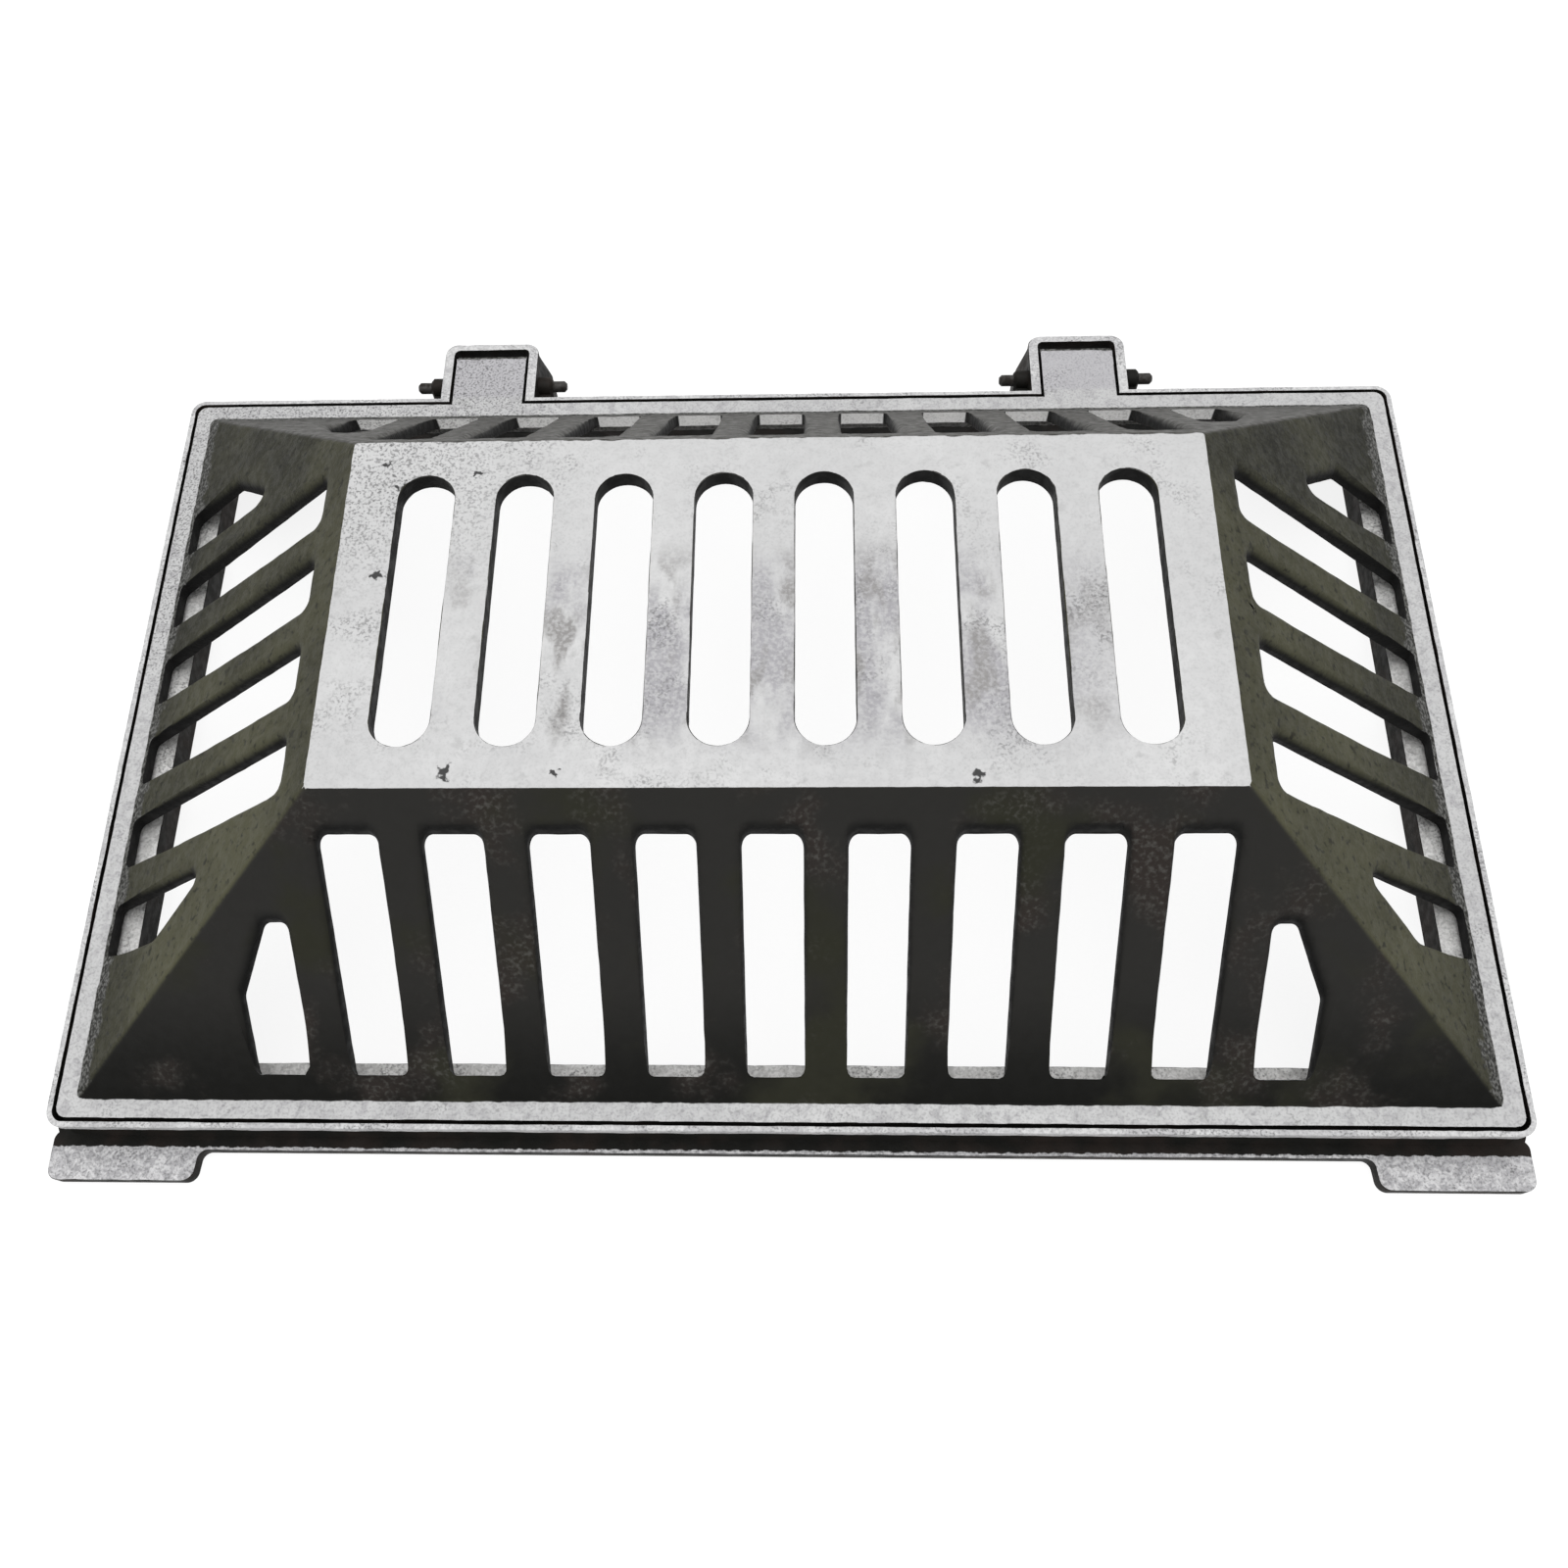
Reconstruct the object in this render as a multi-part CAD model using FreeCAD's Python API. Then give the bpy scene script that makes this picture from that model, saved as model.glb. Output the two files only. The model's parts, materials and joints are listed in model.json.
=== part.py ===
import FreeCAD, Part
import math
import os

V = FreeCAD.Vector

# Frame casting, millimetres. X runs across, the hinge is at +Y, the floor is z = 0.
frame_width = 750.0
frame_depth = 456.0
frame_height = 31.0
frame_corner = 9.0
lip = 3.0
lip_face = 6.0
seat_depth = 12.0
ledge_side = 26.0
ledge_front = 36.0
ledge_back = 18.0
opening_corner = 12.0
cove_depth = 3.0
flange_reach = 7.5
flange_side = 5.0
flange_thick = 8.0

# Hollow underside of the frame, open to the floor along the front and both sides.
skirt_wall = 6.0
seat_web = 8.0
channel_outer_wall = 8.0
channel_end = 40.0

# Anchor lugs at the two front corners.
lug_width = 79.5
lug_reach = 23.0
lug_taper = 2.5
lug_corner = 6.0
lug_fillet = 5.0

# Grate casting: rim, hipped shell and flat top.
rim_gap = 1.6
rim_draft = 2.5
rim_width = 10.0
rim_corner = 6.0
hip_radius = 5.0
raise_height = 132.0
slope_run_x = 144.4
slope_run_y = 116.7
shell = 10.0
foot_fillet = 3.0

# Drain slots: one pitch and one width on all five faces, as many as fit between the hips.
slot_pitch = 50.0
slot_width = 29.0
slot_corner = 5.0
slot_edge_margin = 15.0
top_slot_length = 151.0
front_slot_foot_margin = 10.3
side_slot_foot_margin = 2.3
front_slot_head_margin = 13.0
side_slot_head_margin = 19.0
short_head = 12.0
short_cut = 28.0
short_hip_margin = 24.0
side_short_hip_margin = 49.0

# Hinge: tabs of the grate, pockets and bosses of the frame, and the pins.
hinge_spacing = 372.0
hinge_setback = 16.5
hinge_drop = 11.0
tab_width = 45.0
tab_thick = 9.0
tab_tail = 18.6
tail_round = 6.0
tab_gap = 1.5
swing_gap = 1.5
pocket_front_wall = 4.0
pocket_side_wall = 6.0
pocket_back_wall = 4.5
pocket_corner = 8.0
pocket_flare = 4.0
boss_length = 9.0
boss_chamfer = 1.5
boss_wall = 2.5
eye_wall = 4.0
knuckle_wrap = 20.0
knuckle_web = 8.5
pin_radius = 3.5
pin_play = 0.05
pin_stand = 9.0
pin_chamfer = 1.5

# Extra length of a cutter past the face that it cuts, and the tolerance for picking edges.
cut_past = 2.0
tiny = 1e-4

# Places worked out from the sizes above.
lip_x = frame_width / 2
lip_y = frame_depth / 2
seat_z = frame_height - seat_depth
rim_x = lip_x - lip - rim_gap
rim_y = lip_y - lip - rim_gap
base_x = rim_x - rim_width
base_y = rim_y - rim_width
top_x = base_x - slope_run_x
top_y = base_y - slope_run_y
top_z = frame_height + raise_height
hip_slope = slope_run_y / slope_run_x

hinge_y = lip_y + hinge_setback
hinge_z = frame_height - hinge_drop
eye_radius = pin_radius + pin_play + eye_wall
boss_radius = pin_radius + pin_play + boss_wall
tail_swing = math.hypot(tab_tail - tail_round, hinge_drop - tail_round) + tail_round
cavity_half = tab_width / 2 + tab_gap
cavity_back = hinge_y + tail_swing + swing_gap
cavity_front = lip_y + pocket_front_wall
pocket_half = cavity_half + pocket_side_wall
pocket_back = cavity_back + pocket_back_wall
hinge_places = {"left": -hinge_spacing / 2, "right": hinge_spacing / 2}

front_reach = lip_y + lug_reach
back_reach = pocket_back + pocket_flare
to_origin = V(0, (front_reach - back_reach) / 2, 0)


def rectangle(x0, x1, y0, y1):
    """Corners of a rectangle, anticlockwise seen from above."""
    return [(x0, y0), (x1, y0), (x1, y1), (x0, y1)]


def outline(corners, radius, z, square=()):
    """Closed wire at height z, its corners rounded by arcs save those whose numbers are given as square."""
    entries, exits, arcs = [], [], []
    for i, corner in enumerate(corners):
        here = V(corner[0], corner[1], z)
        before = V(*corners[i - 1], z) - here
        after = V(*corners[(i + 1) % len(corners)], z) - here
        before.normalize()
        after.normalize()
        half_angle = before.getAngle(after) / 2
        inward = before + after
        inward.normalize()
        setback = 0 if i in square else radius / math.tan(half_angle)
        entry = here + before * setback
        leave = here + after * setback
        middle = here + inward * (radius / math.sin(half_angle) - radius)
        entries.append(entry)
        exits.append(leave)
        arcs.append([] if i in square else [Part.Arc(entry, middle, leave).toShape()])
    edges = []
    for i, arc in enumerate(arcs):
        edges.extend(arc)
        straight_end = entries[(i + 1) % len(arcs)]
        if exits[i].distanceToPoint(straight_end) > tiny:
            edges.append(Part.LineSegment(exits[i], straight_end).toShape())
    return Part.Wire(edges)


def prism(corners, radius, z0, z1, square=()):
    """Upright prism between two heights, with rounded upright edges save the square ones."""
    return Part.Face(outline(corners, radius, z0, square)).extrude(V(0, 0, z1 - z0))


def tapered(low, z0, high, z1, radius):
    """Solid with four flat slopes from one rectangle up to another, its slanting edges rounded."""
    a = [V(x, y, z0) for x, y in low]
    b = [V(x, y, z1) for x, y in high]
    rings = [list(reversed(a)), b]
    for i in range(4):
        j = (i + 1) % 4
        rings.append([a[i], a[j], b[j], b[i]])
    faces = [Part.Face(Part.makePolygon(ring + ring[:1])) for ring in rings]
    solid = Part.Solid(Part.Shell(faces))
    slanting = [e for e in solid.Edges if e.BoundBox.ZLength > tiny]
    return solid.makeFillet(radius, slanting)


def block(x0, x1, y0, y1, z0, z1):
    """Plain box between two corners."""
    return Part.makeBox(x1 - x0, y1 - y0, z1 - z0, V(x0, y0, z0))


def round_bar(x0, x1, radius):
    """Cylinder along the hinge axis."""
    return Part.makeCylinder(radius, x1 - x0, V(x0, hinge_y, hinge_z), V(1, 0, 0))


def side_profile(edges, x0, x1):
    """Solid with the given upright outline, extruded across from x0 to x1."""
    face = Part.Face(Part.Wire(edges))
    return face.extrude(V(x1 - x0, 0, 0))


def cove_cutter():
    """What is cut away outside the lip: a vertical lip face, a hollow cove and the flange top."""
    start_x = -lip_x
    start_y = -lip_y + frame_corner
    cove_top = frame_height - lip_face
    cove_middle = (cove_top + flange_thick) / 2

    past_top = frame_height + cut_past
    past_edge = flange_reach + cut_past

    def at(outward, z):
        return V(start_x - outward, start_y, z)

    profile = Part.Wire([
        Part.LineSegment(at(0, past_top), at(0, cove_top)).toShape(),
        Part.Arc(at(0, cove_top), at(-cove_depth, cove_middle), at(0, flange_thick)).toShape(),
        Part.LineSegment(at(0, flange_thick), at(past_edge, flange_thick)).toShape(),
        Part.LineSegment(at(past_edge, flange_thick), at(past_edge, past_top)).toShape(),
        Part.LineSegment(at(past_edge, past_top), at(0, past_top)).toShape(),
    ])
    path = outline(rectangle(-lip_x, lip_x, -lip_y, lip_y), frame_corner, 0)
    return path.makePipeShell([profile], True, True)


def hinge_pocket(x):
    """U-shaped pocket wall behind the lip, flared at its foot, with a barrel boss on each side."""
    y0 = lip_y - lip - pocket_corner
    upper_z = frame_height - lip_face
    at_lip = rectangle(x - pocket_half, x + pocket_half, y0, pocket_back)
    foot_half = pocket_half + pocket_flare
    at_foot = rectangle(x - foot_half, x + foot_half, y0, pocket_back + pocket_flare)
    wall = tapered(at_foot, 0, at_lip, upper_z, pocket_corner)
    wall = wall.fuse(prism(at_lip, pocket_corner, upper_z, frame_height))
    for side in (-1, 1):
        wall = wall.fuse(barrel_boss(x, side))
    return wall


def barrel_boss(x, side):
    """Half-round boss on straight cheeks that run down to the floor, chamfered at its free end."""
    inner = x + side * cavity_half
    outer = x + side * (pocket_half + boss_length)
    front = hinge_y - boss_radius
    back = hinge_y + boss_radius
    edges = [
        Part.LineSegment(V(inner, front, 0), V(inner, front, hinge_z)).toShape(),
        Part.Arc(V(inner, front, hinge_z), V(inner, hinge_y, hinge_z + boss_radius),
                 V(inner, back, hinge_z)).toShape(),
        Part.LineSegment(V(inner, back, hinge_z), V(inner, back, 0)).toShape(),
        Part.LineSegment(V(inner, back, 0), V(inner, front, 0)).toShape(),
    ]
    boss = side_profile(edges, inner, outer)
    free_end = [e for e in boss.Edges if e.BoundBox.XLength < tiny
                and abs(e.BoundBox.XMin - outer) < tiny and e.BoundBox.ZMax > tiny]
    boss = boss.makeChamfer(boss_chamfer, free_end)
    web = block(min(inner, outer - side * boss_chamfer), max(inner, outer - side * boss_chamfer),
                lip_y - lip, hinge_y, 0, hinge_z)
    return boss.fuse(web)


def anchor_lug(side):
    """Flat lug that carries the bottom flange forward at one front corner."""
    outer = side * (lip_x + flange_side)
    inner = outer - side * lug_width
    wall_y = -lip_y + lip
    front_y = -lip_y - lug_reach
    corners = [(outer, wall_y), (inner, wall_y), (inner + side * lug_taper, front_y), (outer, front_y)]
    return prism(corners, lug_corner, 0, flange_thick)


def underside_channels():
    """Hollow under the seat, between the inner skirt and the outer wall."""
    depth = seat_z - seat_web
    side_inner = lip_x - ledge_side + skirt_wall
    side_outer = lip_x - channel_outer_wall
    front_inner = lip_y - ledge_front + skirt_wall
    front_outer = lip_y - channel_outer_wall
    half_side = lip_y - channel_end
    half_front = lip_x - channel_end
    cuts = [block(-half_front, half_front, -front_outer, -front_inner, 0, depth)]
    for side in (-1, 1):
        x0, x1 = sorted((side * side_inner, side * side_outer))
        cuts.append(block(x0, x1, -half_side, half_side, 0, depth))
    return cuts


def make_frame():
    """The frame casting."""
    flange_x = lip_x + flange_side
    flange_y = lip_y + flange_reach
    flange = rectangle(-flange_x, flange_x, -flange_y, flange_y)
    frame = prism(flange, frame_corner + flange_reach, 0, frame_height).cut(cove_cutter())
    for side in (-1, 1):
        frame = frame.fuse(anchor_lug(side))
    nooks = [e for e in frame.Edges if abs(e.BoundBox.ZLength - flange_thick) < tiny
             and abs(e.BoundBox.YMin + flange_y) < tiny and e.BoundBox.YLength < tiny]
    frame = frame.makeFillet(lug_fillet, nooks)
    for x in hinge_places.values():
        frame = frame.fuse(hinge_pocket(x))
    seat_x = lip_x - lip
    seat_y = lip_y - lip
    seat = rectangle(-seat_x, seat_x, -seat_y, seat_y)
    frame = frame.cut(prism(seat, frame_corner - lip, seat_z, frame_height))
    drain = rectangle(-lip_x + ledge_side, lip_x - ledge_side, -lip_y + ledge_front, lip_y - ledge_back)
    frame = frame.cut(prism(drain, opening_corner, 0, frame_height))
    for x in hinge_places.values():
        cavity = rectangle(x - cavity_half, x + cavity_half, cavity_front, cavity_back)
        frame = frame.cut(prism(cavity, pocket_corner - pocket_back_wall, 0, frame_height))
        notch_back = cavity_front + pocket_corner
        frame = frame.cut(block(x - cavity_half, x + cavity_half, seat_y - lip, notch_back,
                                seat_z, frame_height))
        reach = pocket_half + boss_length
        frame = frame.cut(round_bar(x - reach, x + reach, pin_radius + pin_play))
    for channel in underside_channels():
        frame = frame.cut(channel)
    return frame.removeSplitter()


def hipped_block(z0, z1):
    """Truncated pyramid between two heights, with rounded hips."""
    base = rectangle(-base_x, base_x, -base_y, base_y)
    top = rectangle(-top_x, top_x, -top_y, top_y)
    return tapered(base, z0, top, z1, hip_radius)


def hipped_form():
    """Rim and hipped form of the grate, still solid, with its foot rounded."""
    under_x = rim_x - rim_draft
    under_y = rim_y - rim_draft
    rim = tapered(rectangle(-under_x, under_x, -under_y, under_y), seat_z,
                  rectangle(-rim_x, rim_x, -rim_y, rim_y), frame_height, rim_corner)
    form = rim.fuse(hipped_block(frame_height, top_z))
    foot = level_edges(form, frame_height, base_x, base_y)
    return form.makeFillet(foot_fillet, foot)


def level_edges(shape, z, half_x, half_y):
    """Edges that lie flat at height z, on or inside the given half sizes."""
    found = []
    for edge in shape.Edges:
        box = edge.BoundBox
        flat = abs(box.ZMin - z) < tiny and abs(box.ZMax - z) < tiny
        inside = max(-box.XMin, box.XMax) < half_x + tiny and max(-box.YMin, box.YMax) < half_y + tiny
        if flat and inside:
            found.append(edge)
    return found


def shell_hollow():
    """The hollow below the shell: the hipped form let down by the shell's upright thickness."""
    low_z = frame_height - shell
    base = rectangle(-base_x, base_x, -base_y, base_y)
    return hipped_block(low_z, top_z - shell).fuse(prism(base, hip_radius, seat_z - shell, low_z))


def row_places(half_room):
    """Middles of a row of slots, as many as fit at one pitch with a margin at both ends."""
    room = 2 * (half_room - slot_edge_margin)
    count = int((room + slot_pitch - slot_width) // slot_pitch)
    return [(i - (count - 1) / 2) * slot_pitch for i in range(count)]


def drain_slots():
    """Every drain slot as an upright cutter, with round head corners and square feet on the slopes."""
    half = slot_width / 2
    front_head = top_y + front_slot_head_margin
    front_foot = base_y - front_slot_foot_margin
    side_head = top_x + side_slot_head_margin
    side_foot = base_x - side_slot_foot_margin
    front_row = row_places(top_x + front_slot_head_margin / hip_slope)
    side_row = row_places(top_y + side_slot_head_margin * hip_slope)
    front_near = (len(front_row) + 1) / 2 * slot_pitch - half
    side_near = (len(side_row) + 1) / 2 * slot_pitch - half

    plans = []
    for end in (-1, 1):
        for x in front_row:
            head, foot = end * front_head, end * front_foot
            plans.append([(x - half, head), (x - half, foot), (x + half, foot), (x + half, head)])
        for y in side_row:
            head, foot = end * side_head, end * side_foot
            plans.append([(head, y - half), (foot, y - half), (foot, y + half), (head, y + half)])
        for side in (-1, 1):
            plans.append([(side * x, end * y) for x, y in front_short_plan(front_near, front_foot)])
            plans.append([(side * x, end * y) for x, y in side_short_plan(side_near, side_foot)])

    z0 = seat_z - shell
    z1 = top_z + shell
    slots = [prism(plan, slot_corner, z0, z1, square=(1, 2)) for plan in plans]
    for x in row_places(top_x):
        plan = rectangle(x - half, x + half, -top_slot_length / 2, top_slot_length / 2)
        slots.append(prism(plan, half, z0, z1))
    return slots


def front_short_plan(near, foot):
    """Outer slot of the front or back slope, its outer upper corner cut off beside the hip."""
    far = near + slot_width
    head = top_y + (near + short_head + short_hip_margin - top_x) * hip_slope
    return [(near, head), (near, foot), (far, foot), (far, head + short_cut), (near + short_head, head)]


def side_short_plan(near, foot):
    """Outer slot of a side slope: a corner piece whose long edge runs parallel to the hip."""
    far = near + slot_width
    apex = top_x + (near - top_y) / hip_slope + side_short_hip_margin
    return [(apex, near), (foot, near), (foot, far), (apex + slot_width / hip_slope, far)]


def hinge_tab(x):
    """Flat tab behind the rim with a rounded tail and a knuckle bored for the pin."""
    x0 = x - tab_width / 2
    x1 = x + tab_width / 2
    root_y = rim_y - rim_width / 2
    tail_y = hinge_y + tab_tail
    under_z = frame_height - tab_thick
    wrap = math.radians(knuckle_wrap)
    knuckle_side = eye_radius * math.cos(wrap)
    knuckle_z = hinge_z - eye_radius * math.sin(wrap)
    web_y = hinge_y - eye_radius - knuckle_web
    bend = tail_round * (1 - math.sqrt(0.5))

    def at(y, z):
        return V(x0, y, z)

    def line(a, b):
        return Part.LineSegment(at(*a), at(*b)).toShape()

    edges = [
        line((root_y, frame_height), (tail_y - tail_round, frame_height)),
        Part.Arc(at(tail_y - tail_round, frame_height), at(tail_y - bend, frame_height - bend),
                 at(tail_y, frame_height - tail_round)).toShape(),
        line((tail_y, frame_height - tail_round), (tail_y, under_z)),
        line((tail_y, under_z), (hinge_y + knuckle_side, knuckle_z)),
        Part.Arc(at(hinge_y + knuckle_side, knuckle_z), at(hinge_y, hinge_z - eye_radius),
                 at(hinge_y - knuckle_side, knuckle_z)).toShape(),
        line((hinge_y - knuckle_side, knuckle_z), (web_y, under_z)),
        line((web_y, under_z), (root_y, under_z)),
        line((root_y, under_z), (root_y, frame_height)),
    ]
    return side_profile(edges, x0, x1)


def make_grate():
    """The grate casting."""
    grate = hipped_form().cut(shell_hollow())
    grate = grate.cut(Part.makeCompound(drain_slots()))
    for x in hinge_places.values():
        grate = grate.fuse(hinge_tab(x))
        grate = grate.cut(round_bar(x - tab_width, x + tab_width, pin_radius + pin_play))
    return grate.removeSplitter()


def make_pin(x):
    """Round pin through one pocket, chamfered at both ends."""
    reach = pocket_half + boss_length + pin_stand
    pin = round_bar(x - reach, x + reach, pin_radius)
    rims = [e for e in pin.Edges if e.BoundBox.XLength < tiny]
    return pin.makeChamfer(pin_chamfer, rims)


def write_step(node, shape):
    """Move a finished piece to the part's origin and write it."""
    shape.translate(to_origin)
    shape.exportStep(os.path.join("parts", node + ".step"))


os.makedirs("parts", exist_ok=True)
write_step("frame", make_frame())
write_step("grate", make_grate())
for place, pin_x in hinge_places.items():
    write_step("hinge_pin_" + place, make_pin(pin_x))
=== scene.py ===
import bmesh
import bpy
import json
import math
from mathutils import Matrix, Vector


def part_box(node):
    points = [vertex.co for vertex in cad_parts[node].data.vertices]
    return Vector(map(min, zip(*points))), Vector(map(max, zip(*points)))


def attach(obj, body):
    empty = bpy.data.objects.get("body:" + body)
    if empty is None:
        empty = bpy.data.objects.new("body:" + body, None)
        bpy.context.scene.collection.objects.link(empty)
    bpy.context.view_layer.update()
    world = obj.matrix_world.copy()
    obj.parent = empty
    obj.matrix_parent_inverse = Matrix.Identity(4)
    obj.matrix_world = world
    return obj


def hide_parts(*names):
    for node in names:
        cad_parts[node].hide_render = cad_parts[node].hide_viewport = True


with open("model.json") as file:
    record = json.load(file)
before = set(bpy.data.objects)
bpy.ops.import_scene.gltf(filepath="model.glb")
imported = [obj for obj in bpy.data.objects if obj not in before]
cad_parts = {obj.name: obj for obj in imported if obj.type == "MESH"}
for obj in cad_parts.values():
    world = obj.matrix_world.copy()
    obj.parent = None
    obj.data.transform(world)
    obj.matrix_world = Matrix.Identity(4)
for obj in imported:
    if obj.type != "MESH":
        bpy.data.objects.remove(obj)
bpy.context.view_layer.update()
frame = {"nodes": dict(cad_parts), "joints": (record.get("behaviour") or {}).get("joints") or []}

bpy.ops.object.select_all(action="DESELECT")


# Frame casting: grey iron poured in a sand mould, with a thin lip round a seat, a coved outer wall, a bottom
# flange with two anchor lugs in front, and two hinge pockets behind. Its level faces are scuffed bright and
# also carry a painted reflection of the sky, while walls and hollows keep the dark foundry skin. The seat
# seen through the grate's slots is painted lighter still, as painted light in the grate's shade.
frame_low, frame_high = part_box("frame")
hinge_axis = Vector(frame["joints"][0]["pos_m"])
seat_level = 0.019
flange_level = 0.008
lug_reach = 0.023
lip_front = frame_low.y + lug_reach
middle_y = -0.0115
slope_foot_x = 0.3604
slope_foot_y = 0.2134
merge_distance = 0.00002
flat_turn = math.radians(1)
sharp_turn = math.radians(40)
smooth_turn = math.radians(38)
edge_softness = 0.0004
edge_steps = 2
level_normal = 0.99
small_face = 0.000004
frame_step = 0.0035
bore_keep = 0.012
boss_reach = 0.0085
boss_blur = 0.0005
# Each kind of unevenness has its name, the width of one lump and its height.
lumps = (("sand_lumps", 0.028, 0.0005), ("sand_burrs", 0.009, 0.0005))
wear_blur = 0.001
lip_wear_level = 0.0135
lip_wear_stray = 0.012
cove_front = lip_front - 0.0066
chip_depth = 0.001
chip_blur = 0.0006
# The bright colours of lugs, lip and seat also carry a painted reflection of the sky on faces that look up.
lug_dull = (0.29, 0.287, 0.295, 1)
lug_clean = (0.50, 0.497, 0.502, 1)
lip_dull = (0.38, 0.378, 0.382, 1)
lip_clean = (0.49, 0.49, 0.49, 1)
# Painted light: the seat's colours are brighter than the lip's so that the seat, in the grate's shade, still
# looks lit.
seat_dull_painted_lit = (0.52, 0.515, 0.505, 1)
seat_clean_painted_lit = (0.72, 0.715, 0.705, 1)
tarnish_grey = (0.29, 0.286, 0.298, 1)
pit_grey = (0.04, 0.04, 0.04, 1)
frame_black = (0.007, 0.007, 0.006, 1)
frame_rust = (0.016, 0.012, 0.010, 1)


def casting_copy(node, name):
    """A copy of a solid with its triangles merged into whole faces."""
    bpy.ops.object.select_all(action="DESELECT")
    solid = frame["nodes"][node]
    solid.select_set(True)
    bpy.context.view_layer.objects.active = solid
    bpy.ops.object.duplicate()
    piece = bpy.context.active_object
    piece.name = name
    piece.data.name = name
    bpy.ops.object.mode_set(mode="EDIT")
    bpy.ops.mesh.select_all(action="SELECT")
    bpy.ops.mesh.remove_doubles(threshold=merge_distance)
    bpy.ops.mesh.dissolve_limited(angle_limit=flat_turn)
    bpy.ops.object.mode_set(mode="OBJECT")
    return piece


def bevel_edges(piece, chosen, width, steps):
    """Bevel the edges that a test chooses."""
    bpy.ops.object.mode_set(mode="EDIT")
    bpy.ops.mesh.select_mode(type="EDGE")
    bpy.ops.mesh.select_all(action="DESELECT")
    skin = bmesh.from_edit_mesh(piece.data)
    for edge in skin.edges:
        edge.select_set(chosen(edge))
    bmesh.update_edit_mesh(piece.data)
    bpy.ops.mesh.bevel(offset=width, segments=steps, affect="EDGES", clamp_overlap=False)
    bpy.ops.object.mode_set(mode="OBJECT")


def edge_of_level_face(edge):
    """True for an outer edge between one level face that looks up and a steeper one."""
    level = [face for face in edge.link_faces
             if face.normal.z > level_normal and face.calc_area() > small_face]
    return len(level) == 1 and edge.calc_face_angle_signed() > sharp_turn


def break_edges(piece):
    """Round the edges of the level faces, as wear leaves them, and take the keenness off the others."""
    bevel_edges(piece, edge_of_level_face, edge_softness, edge_steps)
    bevel = piece.modifiers.new("broken_edges", "BEVEL")
    bevel.limit_method = "ANGLE"
    bevel.angle_limit = sharp_turn
    bevel.width = edge_softness
    bevel.segments = edge_steps
    bpy.ops.object.modifier_apply(modifier=bevel.name)


def cut_grid(piece, low, high, step):
    """Cut the skin along upright planes one step apart, both ways, so that it can be made uneven."""
    bpy.ops.object.mode_set(mode="EDIT")
    for axis in (Vector((1, 0, 0)), Vector((0, 1, 0))):
        start, end = low.dot(axis), high.dot(axis)
        for i in range(1, int((end - start) / step)):
            bpy.ops.mesh.select_all(action="SELECT")
            bpy.ops.mesh.bisect(plane_co=axis * (start + i * step), plane_no=axis)
    bpy.ops.object.mode_set(mode="OBJECT")


def make_uneven(piece):
    """Push the skin in and out a little, as sand leaves it, except close to the hinge and on the ground."""
    loose = piece.vertex_groups.new(name="loose_skin")
    for point in piece.data.vertices:
        away = math.hypot(point.co.y - hinge_axis.y, point.co.z - hinge_axis.z)
        lifted = point.co.z > frame_low.z + merge_distance
        loose.add([point.index], min(1, max(0, away / bore_keep - 1)) * lifted, "REPLACE")
    for name, size, height in lumps:
        sand = bpy.data.textures.new(name, "CLOUDS")
        sand.noise_scale = size
        sand.noise_depth = 2
        push = piece.modifiers.new(name, "DISPLACE")
        push.texture = sand
        push.texture_coords = "LOCAL"
        push.strength = height
        push.vertex_group = loose.name
        bpy.ops.object.modifier_apply(modifier=push.name)
    bpy.ops.object.shade_smooth_by_angle(angle=smooth_turn)
    flats = piece.modifiers.new("true_flats", "WEIGHTED_NORMAL")
    flats.keep_sharp = True
    bpy.ops.object.modifier_apply(modifier=flats.name)


def add_node(tree, kind, inputs, **settings):
    """A shader node. An input given as a socket is linked to it, any other is set as its value."""
    made = tree.nodes.new("ShaderNode" + kind)
    for setting, value in settings.items():
        setattr(made, setting, value)
    for socket, value in inputs.items():
        if isinstance(value, bpy.types.NodeSocket):
            tree.links.new(value, made.inputs[socket])
        else:
            made.inputs[socket].default_value = value
    return made


def ramp(tree, value, low, high, start=0.0, end=1.0):
    """Start below low, end above high and a soft step between."""
    inputs = {"Value": value, "From Min": low, "From Max": high, "To Min": start, "To Max": end}
    return add_node(tree, "MapRange", inputs, interpolation_type="SMOOTHSTEP").outputs["Result"]


def between(tree, share, start, end):
    """A number that goes from start to end as a share goes from 0 to 1."""
    return ramp(tree, share, 0, 1, start, end)


def reckon(tree, operation, a, b):
    """One sum of two numbers or sockets."""
    return add_node(tree, "Math", {0: a, 1: b}, operation=operation).outputs[0]


def times(tree, a, b):
    """Two amounts multiplied: a mark that shows only where both do."""
    return reckon(tree, "MULTIPLY", a, b)


def larger(tree, a, b):
    """The larger of two amounts: a mark that shows where either does."""
    return reckon(tree, "MAXIMUM", a, b)


def rest_of(tree, amount):
    """What an amount leaves of one."""
    return reckon(tree, "SUBTRACT", 1.0, amount)


def astray(tree, value, pattern, reach):
    """A value that a pattern moves by up to a reach, so that a border drawn from it is ragged."""
    return reckon(tree, "ADD", value, times(tree, pattern, reach))


def unsigned(tree, value):
    """A value without its sign."""
    return reckon(tree, "ABSOLUTE", value, 0.0)


def layer(tree, amount, below, above):
    """One colour laid over another by an amount."""
    return add_node(tree, "Mix", {0: amount, 6: below, 7: above}, data_type="RGBA").outputs[2]


def mottle(tree, place, size, low, high, detail, swirl=0.0):
    """Cloudy pattern with marks of about the given size in metres, spread over 0 to 1 between two levels."""
    inputs = {"Vector": place, "Scale": 1 / size, "Detail": detail, "Distortion": swirl}
    return ramp(tree, add_node(tree, "TexNoise", inputs).outputs["Fac"], low, high)


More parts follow.
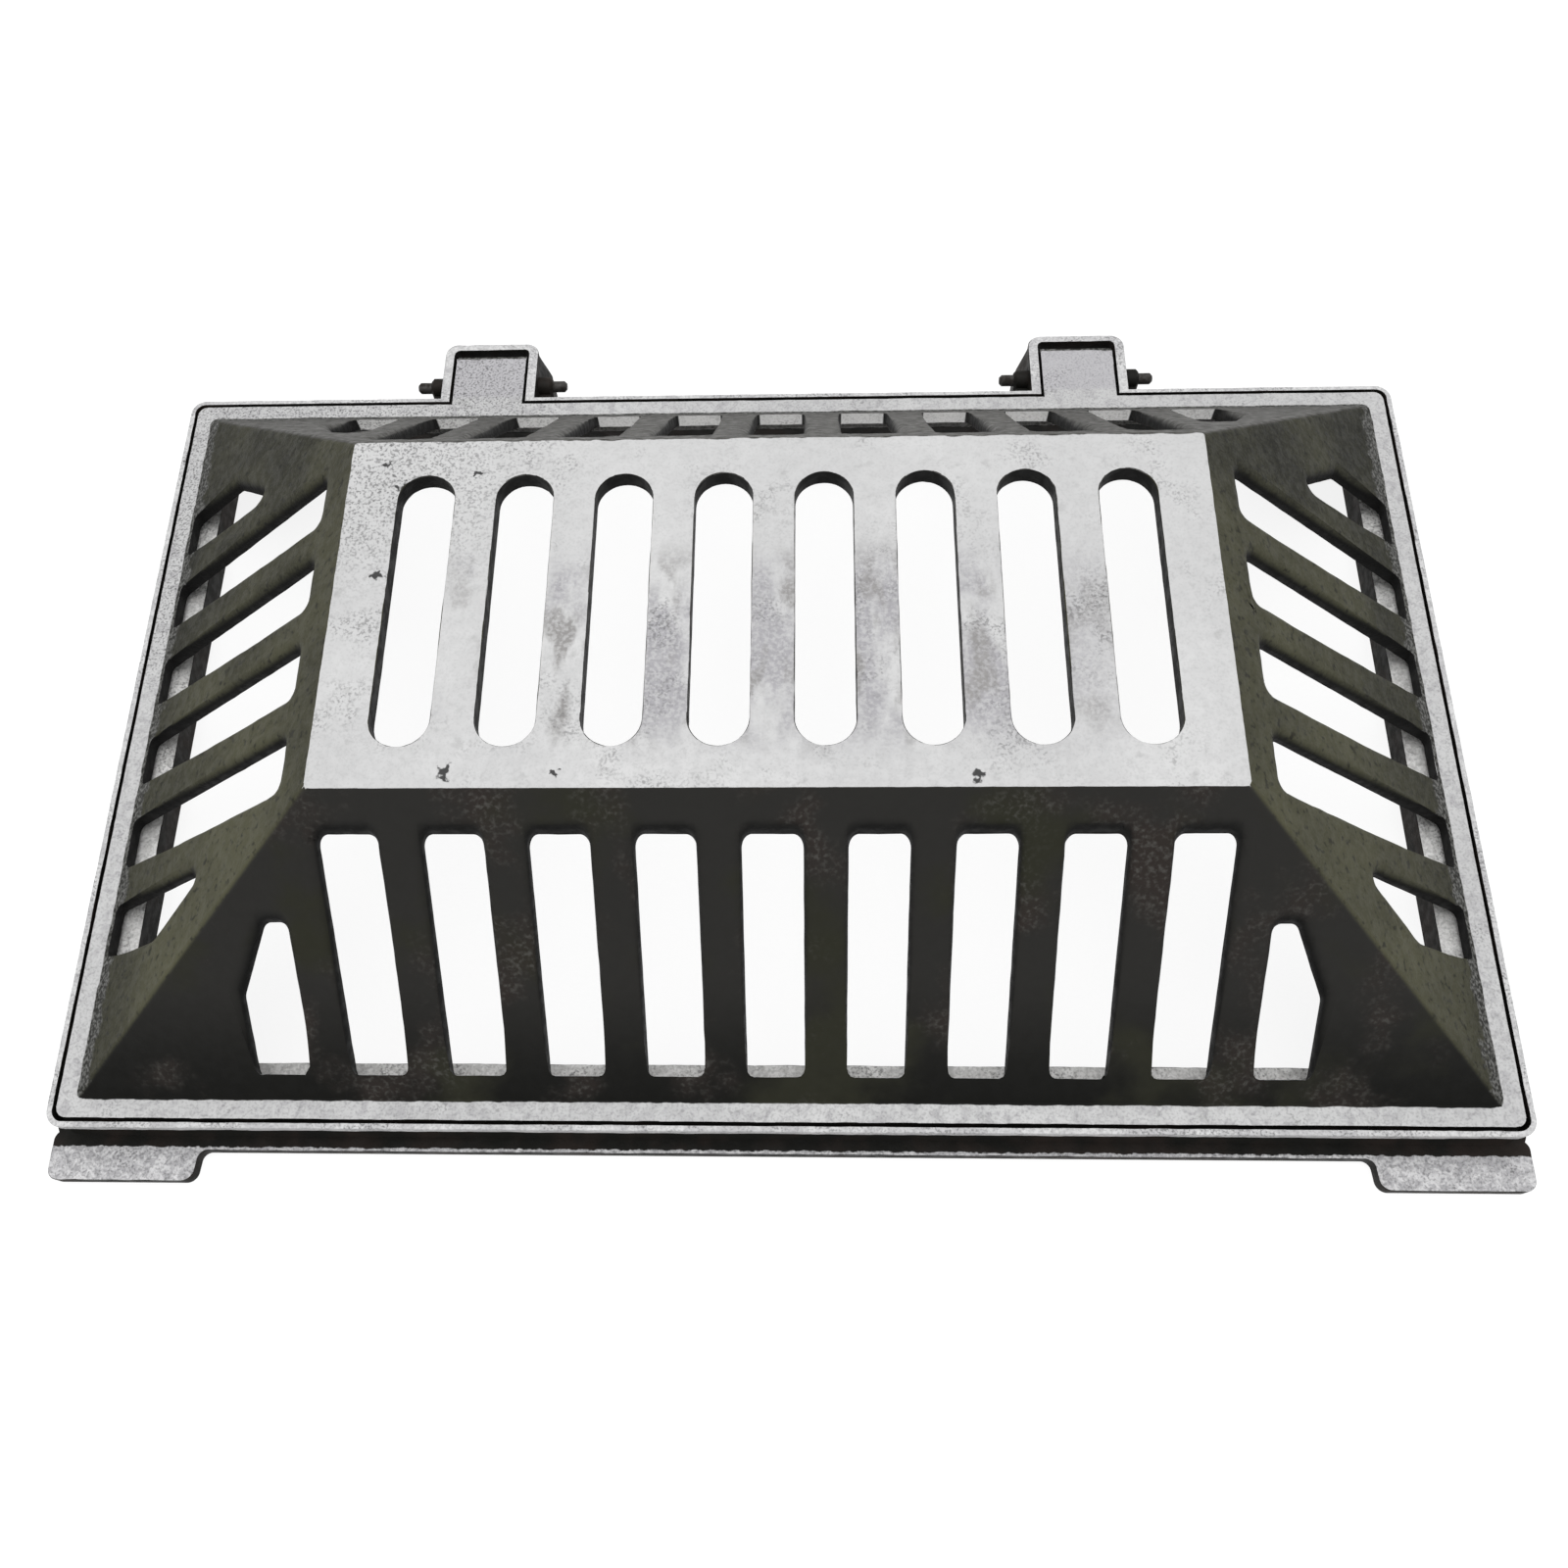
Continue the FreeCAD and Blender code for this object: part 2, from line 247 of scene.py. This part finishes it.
def start_iron(name):
    """A new material with its tree, its object coordinates, and the parts of its place and its normal."""
    iron = bpy.data.materials.new(name)
    iron.use_nodes = True
    tree = iron.node_tree
    tree.nodes.clear()
    coordinates = add_node(tree, "TexCoord", {})
    place = coordinates.outputs["Object"]
    at = add_node(tree, "SeparateXYZ", {"Vector": place}).outputs
    facing = add_node(tree, "SeparateXYZ", {"Vector": coordinates.outputs["Normal"]}).outputs
    return iron, tree, place, at, facing


def finish_iron(tree, place, bright, shine, rough, dents, bright_colour, dark_colour):
    """Bright metal, partly worn and partly painted light, over dark skin, with sand grain and pits that stand
    out where the metal is rough.
    """
    grain = mottle(tree, place, size=0.0013, low=0.46, high=0.68, detail=2)
    pits = mottle(tree, place, size=0.0035, low=0.65, high=0.70, detail=5)
    coarse = mottle(tree, place, size=0.006, low=0.3, high=0.7, detail=4)
    grain_shade = times(tree, grain, between(tree, rough, 0.08, 0.60))
    pit_shade = times(tree, pits, times(tree, rough, 0.8))
    marks = larger(tree, larger(tree, grain_shade, pit_shade), dents)
    pitted = layer(tree, marks, bright_colour, pit_grey)
    colour = layer(tree, bright, dark_colour, pitted)
    bumps = times(tree, coarse, between(tree, bright, 0.5, 0.15))
    pebbles = times(tree, grain, between(tree, bright, 0.2, 0.0))
    height = reckon(tree, "SUBTRACT", reckon(tree, "ADD", bumps, pebbles), marks)
    bump = add_node(tree, "Bump", {"Height": height, "Strength": 0.4, "Distance": 0.0006})
    shader = add_node(tree, "BsdfPrincipled", {
        "Base Color": colour,
        "Metallic": between(tree, shine, 0.0, 0.2),
        "Roughness": between(tree, coarse, 0.50, 0.66),
        "Specular IOR Level": 0.08,
        "Normal": bump.outputs["Normal"],
    })
    add_node(tree, "OutputMaterial", {"Surface": shader.outputs["BSDF"]})


frame_casting = casting_copy("frame", "frame_casting")
break_edges(frame_casting)
cut_grid(frame_casting, frame_low, frame_high, frame_step)
make_uneven(frame_casting)

frame_iron, tree, place, at, facing = start_iron("frame_iron")
ragged = mottle(tree, place, size=0.011, low=0.25, high=0.75, detail=6)
level = ramp(tree, astray(tree, facing["Z"], ragged, reach=0.04), low=0.96, high=1.0)
outwards = reckon(tree, "ADD", times(tree, facing["X"], at["X"]), times(tree, facing["Y"], at["Y"]))
lip_line = reckon(tree, "SUBTRACT", at["Z"], times(tree, ragged, lip_wear_stray))
lip_edge = ramp(tree, lip_line, lip_wear_level, lip_wear_level + wear_blur)
lip_wear = times(tree, lip_edge, ramp(tree, outwards, low=0.0, high=0.05))
chipped = mottle(tree, place, size=0.004, low=0.3, high=0.7, detail=5)
cove_line = reckon(tree, "SUBTRACT", at["Y"], times(tree, chipped, chip_depth))
cove_foot = ramp(tree, cove_line, cove_front, cove_front + chip_blur, start=1, end=0)
low_down = ramp(tree, at["Z"], flange_level + wear_blur, flange_level + 2 * wear_blur, start=1, end=0)
above_flange = rest_of(tree, low_down)
flange_wear = larger(tree, above_flange, cove_foot)
off_axis = add_node(tree, "VectorMath", {0: place, 1: (0, 1, 1), 2: (0, -hinge_axis.y, -hinge_axis.z)},
                    operation="MULTIPLY_ADD").outputs["Vector"]
from_axis = add_node(tree, "VectorMath", {0: off_axis}, operation="LENGTH").outputs["Value"]
off_boss = ramp(tree, from_axis, boss_reach, boss_reach + boss_blur)
# Painted reflection of the sky: faces that look up are made bright, along with the scuffed outer face of the
# lip.
worn_and_sky_lit_faces = times(tree, larger(tree, level, lip_wear), flange_wear)
below_lip = ramp(tree, at["Z"], seat_level + 2 * wear_blur, seat_level + 3 * wear_blur, start=1, end=0)
seat = times(tree, below_lip, above_flange)
beyond_x = ramp(tree, unsigned(tree, at["X"]), slope_foot_x, slope_foot_x + wear_blur)
across = unsigned(tree, reckon(tree, "SUBTRACT", at["Y"], middle_y))
beyond_y = ramp(tree, across, slope_foot_y, slope_foot_y + wear_blur)
# Painted light on the seat: only the part inside the slopes' feet, seen through the slots, is made bright;
# the seat beyond them stays dark.
seat_beyond_slope_feet = times(tree, seat, larger(tree, beyond_x, beyond_y))
bright = times(tree, times(tree, worn_and_sky_lit_faces, off_boss), rest_of(tree, seat_beyond_slope_feet))
shine = times(tree, bright, rest_of(tree, seat))

scratches = mottle(tree, place, size=0.0032, low=0.34, high=0.66, detail=9, swirl=0.8)
tarnish = times(tree, mottle(tree, place, size=0.02, low=0.45, high=0.65, detail=6), 0.4)
lug_metal = layer(tree, scratches, lug_dull, lug_clean)
lip_metal = layer(tree, scratches, lip_dull, lip_clean)
# The seat's metal colour is painted light.
seat_metal_painted_lit = layer(tree, scratches, seat_dull_painted_lit, seat_clean_painted_lit)
worn = layer(tree, tarnish, layer(tree, low_down, lip_metal, lug_metal), tarnish_grey)
bright_colour = layer(tree, seat, worn, seat_metal_painted_lit)
rust = mottle(tree, place, size=0.02, low=0.4, high=0.7, detail=5)
dark_colour = layer(tree, rust, frame_black, frame_rust)
patchy = mottle(tree, place, size=0.025, low=0.42, high=0.66, detail=5)
rough = larger(tree, between(tree, patchy, 0.35, 0.9), times(tree, low_down, 0.55))
dents = 0.0
finish_iron(tree, place, bright, shine, rough, dents, bright_colour, dark_colour)
frame_casting.data.materials.clear()
frame_casting.data.materials.append(frame_iron)

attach(frame_casting, "frame")
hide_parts("frame")


# Hinge pins: two plain round steel bars, driven through the pocket walls and the tabs from the side. Weather
# has left them dark and dull, with patches of rust.
pin_grey = (0.040, 0.038, 0.036, 1)
pin_rust = (0.014, 0.012, 0.010, 1)

pin_steel = bpy.data.materials.new("pin_steel")
pin_steel.use_nodes = True
tree = pin_steel.node_tree
tree.nodes.clear()
place = add_node(tree, "TexCoord", {}).outputs["Object"]
rust = mottle(tree, place, size=0.004, low=0.4, high=0.65, detail=5)
bump = add_node(tree, "Bump", {"Height": rust, "Strength": 0.4, "Distance": 0.0003})
shader = add_node(tree, "BsdfPrincipled", {
    "Base Color": layer(tree, rust, pin_grey, pin_rust),
    "Metallic": between(tree, rust, 0.3, 0.0),
    "Roughness": between(tree, rust, 0.45, 0.8),
    "Specular IOR Level": 0.15,
    "Normal": bump.outputs["Normal"],
})
add_node(tree, "OutputMaterial", {"Surface": shader.outputs["BSDF"]})
for node in ("hinge_pin_left", "hinge_pin_right"):
    pin = frame["nodes"][node]
    pin.data.materials.clear()
    pin.data.materials.append(pin_steel)


# Grate casting: one hollow hipped shell of grey iron with a flat slotted top, four slotted slopes, a rim that
# lies on the frame's seat, and two tabs that run back into the hinge pockets. The top and the rim are bright,
# worn by feet and tyres and also painted as a reflection of the sky, while the slopes stay dark with foundry
# skin and dirt, with painted shade on the front and sides and a painted sky reflection on the paler back.
grate_low, grate_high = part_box("grate")
top_level = grate_high.z
top_depth = 0.002
top_back = 0.0852
plate_x = 0.216
plate_y = 0.0967
foot_level = frame_high.z
tab_front = 0.215
back_slot_foot = 0.18
rubbed_level = 0.024
grate_step = 0.005
slot_softness = 0.005
slot_corner = 0.0035
inner_corner_turn = -1
square_normal = 0.999
wall_normal = 0.05
slope_normal_low = 0.6
slope_normal_high = 0.9
foot_meeting = -0.1
hip_blur = 0.015
smudge_front = 0.035
smudge_stretch = (1, 0.45, 1)
# Each mark in the top plate has its place across and along, and its reach.
plate_marks = (
    (-0.197, 0.071, 0.004), (-0.151, 0.065, 0.004), (-0.187, 0.057, 0.006), (-0.195, 0.006, 0.006),
    (-0.151, -0.100, 0.007), (-0.100, -0.101, 0.004), (0.095, -0.102, 0.006),
)
# The bright colours of the top, the rim and the tabs also carry a painted reflection of the sky.
plate_dull = (0.385, 0.385, 0.386, 1)
plate_clean = (0.425, 0.425, 0.425, 1)
smudge_grey = (0.262, 0.258, 0.270, 1)
deep_smudge_grey = (0.205, 0.200, 0.197, 1)
rim_scuff = (0.325, 0.322, 0.328, 1)
tab_grey = (0.33, 0.325, 0.34, 1)
rubbed_grey = (0.62, 0.615, 0.605, 1)
# Painted reflection and shade on the slopes: the front colours are darkest, as the front slope mirrors dark
# ground, the side colours lie between, and the back colours are palest, as the back slope mirrors the sky.
front_low = (0.005, 0.005, 0.0043, 1)
front_high = (0.0165, 0.0160, 0.0147, 1)
front_rust = (0.020, 0.0160, 0.0140, 1)
front_moss = (0.017, 0.0172, 0.0110, 1)
dust_grey = (0.075, 0.074, 0.068, 1)
side_dark = (0.008, 0.008, 0.006, 1)
side_olive = (0.060, 0.059, 0.034, 1)
side_grain = (0.08, 0.08, 0.058, 1)
soot_black = (0.006, 0.006, 0.005, 1)
back_dark = (0.032, 0.031, 0.028, 1)
back_pale = (0.105, 0.103, 0.098, 1)
back_grain = (0.025, 0.025, 0.023, 1)
grit_dark = (0.018, 0.018, 0.016, 1)
grit_pale = (0.12, 0.12, 0.115, 1)
inner_dark = (0.010, 0.010, 0.009, 1)
inner_rust = (0.026, 0.023, 0.019, 1)
# Painted shade: the near-black colour of upright walls, the slot walls among them, stands for the shade
# inside the slots.
wall_painted_shade = (0.004, 0.004, 0.0038, 1)


def slot_foot_corner(edge):
    """True for a plumb inner corner between two square walls of a slot in a slope."""
    start, end = (vertex.co for vertex in edge.verts)
    plumb = math.hypot(end.x - start.x, end.y - start.y) < merge_distance
    square_on = all(max(abs(face.normal.x), abs(face.normal.y)) > square_normal for face in edge.link_faces)
    in_slope = abs(start.x) < slope_foot_x and abs(start.y - middle_y) < slope_foot_y
    return plumb and square_on and in_slope and edge.calc_face_angle_signed() < inner_corner_turn


def slot_mouth(edge):
    """True for an edge between a slot's wall and the outside of a slope, except at the slot's foot."""
    wall, slope = sorted((face.normal for face in edge.link_faces), key=lambda normal: abs(normal.z))
    sloping = slope_normal_low < slope.z < slope_normal_high
    return abs(wall.z) < wall_normal and sloping and wall.dot(slope) > foot_meeting


def share_of_way(tree, value, start, end):
    """How far a value lies on the way from start to end, as a share that may be under 0 or over 1."""
    inputs = {"Value": value, "From Min": start, "From Max": end}
    return add_node(tree, "MapRange", inputs, clamp=False).outputs["Result"]


def blemish(tree, place, spot, reach):
    """A ragged mark of the given reach about a spot."""
    wander = add_node(tree, "TexNoise", {"Vector": place, "Scale": 1.5 / reach, "Detail": 4.0})
    stray = 2.4 * reach
    strayed = add_node(tree, "VectorMath", {0: wander.outputs["Color"], 1: (stray, stray, stray), 2: place},
                       operation="MULTIPLY_ADD")
    centre = [side + stray / 2 for side in spot]
    distance = add_node(tree, "VectorMath", {0: strayed.outputs["Vector"], 1: centre}, operation="DISTANCE")
    return ramp(tree, distance.outputs["Value"], low=reach * 0.35, high=reach * 0.6, start=1, end=0)


grate_casting = casting_copy("grate", "grate_casting")
bevel_edges(grate_casting, slot_foot_corner, width=slot_corner, steps=3)
bevel_edges(grate_casting, slot_mouth, width=slot_softness, steps=4)
break_edges(grate_casting)
cut_grid(grate_casting, grate_low, grate_high, grate_step)
make_uneven(grate_casting)

grate_iron, tree, place, at, facing = start_iron("grate_iron")
ragged = mottle(tree, place, size=0.009, low=0.25, high=0.75, detail=6)
level = ramp(tree, astray(tree, facing["Z"], ragged, reach=0.05), low=0.97, high=1.01)
back_line = astray(tree, at["Y"], ragged, reach=0.0015)
back_edge = ramp(tree, back_line, top_back, top_back + chip_blur)
on_top = ramp(tree, at["Z"], top_level - 2 * top_depth, top_level - top_depth)
off_top = rest_of(tree, on_top)
# Painted reflection of the sky: faces that look up are bright, besides the wear of feet and tyres.
worn_and_sky_lit_level = times(tree, level, rest_of(tree, times(tree, back_edge, on_top)))
faces_front = ramp(tree, facing["Y"], low=-0.9, high=-0.8, start=1, end=0)
at_back_foot = ramp(tree, at["Y"], back_slot_foot, back_slot_foot + 2 * wear_blur)
rubbed_line = astray(tree, at["Z"], ragged, reach=0.003)
foot_wall_wear = ramp(tree, rubbed_line, rubbed_level, rubbed_level + wear_blur)
rubbed_foot = times(tree, times(tree, faces_front, at_back_foot), foot_wall_wear)
bright = larger(tree, worn_and_sky_lit_level, rubbed_foot)
shine = reckon(tree, "SUBTRACT", bright, rubbed_foot)

along_middle = ramp(tree, unsigned(tree, at["X"]), low=0.10, high=0.20, start=1, end=0)
from_smudges = unsigned(tree, reckon(tree, "ADD", at["Y"], smudge_front))
across_middle = ramp(tree, from_smudges, low=0.03, high=0.065, start=1, end=0)
middle = times(tree, along_middle, across_middle)
grit = between(tree, mottle(tree, place, size=0.0022, low=0.35, high=0.62, detail=6), 0.5, 1.0)
dirty = times(tree, middle, grit)
drawn_out = add_node(tree, "VectorMath", {0: place, 1: smudge_stretch},
                     operation="MULTIPLY").outputs["Vector"]
smudge = mottle(tree, drawn_out, size=0.03, low=0.44, high=0.56, detail=8)
deep_smudge = mottle(tree, drawn_out, size=0.018, low=0.52, high=0.64, detail=8)
cloud = mottle(tree, place, size=0.10, low=0.35, high=0.7, detail=4)
clean = layer(tree, cloud, plate_dull, plate_clean)
stained = layer(tree, times(tree, smudge, dirty), clean, smudge_grey)
smudged = layer(tree, times(tree, deep_smudge, dirty), stained, deep_smudge_grey)
scratches = mottle(tree, place, size=0.006, low=0.45, high=0.68, detail=9, swirl=1.2)
scuffed = layer(tree, times(tree, off_top, scratches), smudged, rim_scuff)
tab = ramp(tree, at["Y"], tab_front, tab_front + 4 * wear_blur)
worn = layer(tree, times(tree, tab, 0.8), scuffed, tab_grey)
bright_colour = layer(tree, rubbed_foot, worn, rubbed_grey)

towards_left = ramp(tree, at["X"], low=-0.22, high=-0.06, start=1, end=0)
towards_back = ramp(tree, at["Y"], low=-0.03, high=0.06)
rough_corner = times(tree, towards_left, towards_back)
patchy = times(tree, mottle(tree, place, size=0.03, low=0.45, high=0.70, detail=5), 0.7)
sandy_rim = times(tree, off_top, 0.35)
rough = larger(tree, larger(tree, patchy, rough_corner), sandy_rim)
dents = 0.0
for x, y, reach in plate_marks:
    dents = larger(tree, dents, blemish(tree, place, (x, y, top_level), reach))

from_middle = reckon(tree, "SUBTRACT", at["Y"], middle_y)
down_side = share_of_way(tree, unsigned(tree, at["X"]), plate_x, slope_foot_x)
down_front = share_of_way(tree, unsigned(tree, from_middle), plate_y, slope_foot_y)
sideways = ramp(tree, reckon(tree, "SUBTRACT", down_side, down_front), -hip_blur, hip_blur)
backwards = times(tree, rest_of(tree, sideways), ramp(tree, from_middle, 0.0, wear_blur))

climb = ramp(tree, at["Z"], low=foot_level + 0.005, high=foot_level + 0.06)
rust = mottle(tree, place, size=0.05, low=0.5, high=0.7, detail=5)
moss = mottle(tree, place, size=0.07, low=0.5, high=0.68, detail=5)
dust_grains = mottle(tree, place, size=0.0025, low=0.45, high=0.75, detail=6)
dust_drifts = mottle(tree, place, size=0.05, low=0.5, high=0.68, detail=5)
dust = times(tree, times(tree, dust_grains, dust_drifts), 0.6)
# Front slope: a dark base colour, painted shade for the dark ground it mirrors, lighter as it climbs, under
# rust, moss and dust.
front_skin_and_shade = layer(tree, climb, front_low, front_high)
front_skin_and_shade = layer(tree, rust, front_skin_and_shade, front_rust)
front_skin_and_shade = layer(tree, moss, front_skin_and_shade, front_moss)
front_skin_and_shade = layer(tree, dust, front_skin_and_shade, dust_grey)

skin_grain = mottle(tree, place, size=0.0016, low=0.35, high=0.75, detail=3)
# Painted shade: the side slopes are made lighter towards the front and darker towards the back, mixed with
# real blotches.
painted_light_to_front = ramp(tree, at["Y"], low=-0.20, high=0.16, start=1, end=0)
blotches = mottle(tree, place, size=0.06, low=0.3, high=0.7, detail=5)
weathered_and_painted_light = reckon(tree, "ADD", times(tree, blotches, 0.45), times(tree, painted_light_to_front, 0.5))
paler_up = ramp(tree, at["Z"], low=foot_level, high=foot_level + 0.05, start=0.45, end=1)
weathered_and_painted_light = times(tree, weathered_and_painted_light, paler_up)
soot = mottle(tree, place, size=0.004, low=0.54, high=0.70, detail=5)
side_skin_and_shade = layer(tree, weathered_and_painted_light, side_dark, side_olive)
side_skin_and_shade = layer(tree, times(tree, skin_grain, 0.2), side_skin_and_shade, side_grain)
side_skin_and_shade = layer(tree, times(tree, soot, 0.7), side_skin_and_shade, soot_black)

# Back slope: paler than the other slopes as a painted reflection of the sky, with smears and grain.
smear = mottle(tree, place, size=0.004, low=0.30, high=0.74, detail=9, swirl=0.2)
back_skin_and_reflection = layer(tree, smear, back_dark, back_pale)
back_skin_and_reflection = layer(tree, times(tree, skin_grain, 0.5), back_skin_and_reflection, back_grain)

slopes = layer(tree, backwards, layer(tree, sideways, front_skin_and_shade, side_skin_and_shade), back_skin_and_reflection)
foot_line = astray(tree, at["Z"], ragged, reach=0.006)
foot = ramp(tree, foot_line, low=foot_level + 0.009, high=foot_level + 0.012, start=1, end=0)
foot_band = times(tree, foot, larger(tree, sideways, backwards))
foot_grit = mottle(tree, place, size=0.0018, low=0.40, high=0.66, detail=4)
outside = layer(tree, foot_band, slopes, layer(tree, foot_grit, grit_dark, grit_pale))
inner_patches = mottle(tree, place, size=0.02, low=0.4, high=0.7, detail=6)
inner_skin = layer(tree, inner_patches, inner_dark, inner_rust)
faces_down = ramp(tree, facing["Z"], low=-0.3, high=-0.1, start=1, end=0)
# Painted shade: upright walls get the near-black wall colour for the shade inside the slots.
upright = ramp(tree, unsigned(tree, facing["Z"]), low=0.15, high=0.6, start=1, end=0)
dark_colour = layer(tree, upright, layer(tree, faces_down, outside, inner_skin), wall_painted_shade)
finish_iron(tree, place, bright, shine, rough, dents, bright_colour, dark_colour)
grate_casting.data.materials.clear()
grate_casting.data.materials.append(grate_iron)

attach(grate_casting, "grate")
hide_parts("grate")


# Stage: a plain pale floor under one broad soft lamp and a white sky. The camera stands in front of the grate
# and above it, as in the photograph.
floor_width = 30
floor_grey = (0.15, 0.15, 0.15, 1)
floor_glow = 0.86
white = (1, 1, 1, 1)
lamp_power = 45
lamp_width = 2.5
lamp_place = (0, 0.4, 2.2)
camera_place = Vector((0.0186, -0.3661, 0.7699))
camera_aim = Vector((-0.0139, -0.0397, 0.031))
camera_roll = math.radians(-5.38)

bpy.ops.mesh.primitive_plane_add(size=floor_width)
floor = bpy.context.active_object
floor.name = "floor"
floor_paint = bpy.data.materials.new("floor_paint")
floor_paint.use_nodes = True
paint = floor_paint.node_tree.nodes["Principled BSDF"].inputs
paint["Base Color"].default_value = floor_grey
paint["Roughness"].default_value = 0.9
paint["Emission Color"].default_value = white
paint["Emission Strength"].default_value = floor_glow
floor.data.materials.append(floor_paint)

sky = bpy.data.lights.new("sky", "AREA")
sky.energy = lamp_power
sky.size = lamp_width
lamp = bpy.data.objects.new("sky", sky)
lamp.location = lamp_place
bpy.context.scene.collection.objects.link(lamp)

world = bpy.data.worlds.new("studio")
bpy.context.scene.world = world
world.use_nodes = True
world.node_tree.nodes["Background"].inputs["Color"].default_value = white
world.node_tree.nodes["Background"].inputs["Strength"].default_value = 1.0

camera = bpy.data.cameras.new("camera")
camera.lens = 33.33
camera.sensor_width = 36
camera.shift_x = 0.0193
camera.shift_y = -0.0108
viewer = bpy.data.objects.new("camera", camera)
viewer.location = camera_place
turn = (camera_aim - camera_place).to_track_quat("-Z", "Y").to_matrix()
viewer.rotation_euler = (turn @ Matrix.Rotation(camera_roll, 3, "Z")).to_euler()
bpy.context.scene.collection.objects.link(viewer)
bpy.context.scene.camera = viewer
bpy.context.scene.view_settings.view_transform = "Standard"
